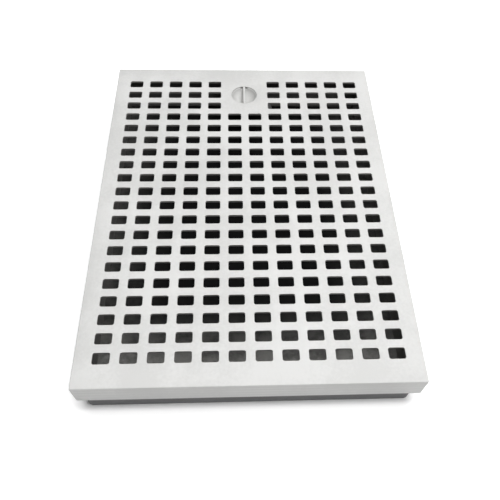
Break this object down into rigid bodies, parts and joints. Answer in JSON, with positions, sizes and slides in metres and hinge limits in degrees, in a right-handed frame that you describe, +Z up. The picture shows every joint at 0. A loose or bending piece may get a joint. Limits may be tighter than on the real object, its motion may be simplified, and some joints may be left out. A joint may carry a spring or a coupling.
{
  "type": "queen excluder",
  "caption": "Slotted queen excluder cover hinged on a closed tray, with a flush quarter-turn latch knob near the back edge.",
  "frame": {"origin": "centre of the overall box's underside, which is the middle of the tray's footprint on the table to within 0.3 mm", "axes": "+Z up, +Y from the hinge at the front to the latch at the back, +X to the right"},
  "size_m": [0.1292, 0.17, 0.023],
  "materials": {
    "cover_plastic": "light grey plastic with a faint satin sheen",
    "tray_plastic": "charcoal plastic, matt",
    "steel": "plain bright steel"
  },
  "bodies": {
    "tray": {"base_tray": "tray_plastic", "hinge_pin_left": "steel", "hinge_pin_right": "steel"},
    "cover": {"excluder_cover": "cover_plastic"},
    "latch": {"latch_knob": "cover_plastic", "latch_pawl": "tray_plastic", "latch_spring_washer": "steel", "latch_screw": "steel"}
  },
  "joints": [
    {"name": "cover_hinge", "type": "hinge", "parent": "tray", "child": "cover", "pos_m": [0, -0.0811, 0.0078], "axis": [1, 0, 0], "range_deg": [0, 100]},
    {"name": "latch_turn", "type": "hinge", "parent": "cover", "child": "latch", "pos_m": [0, 0.06588, 0.0182], "axis": [0, 0, 1], "range_deg": [0, 90]}
  ]
}
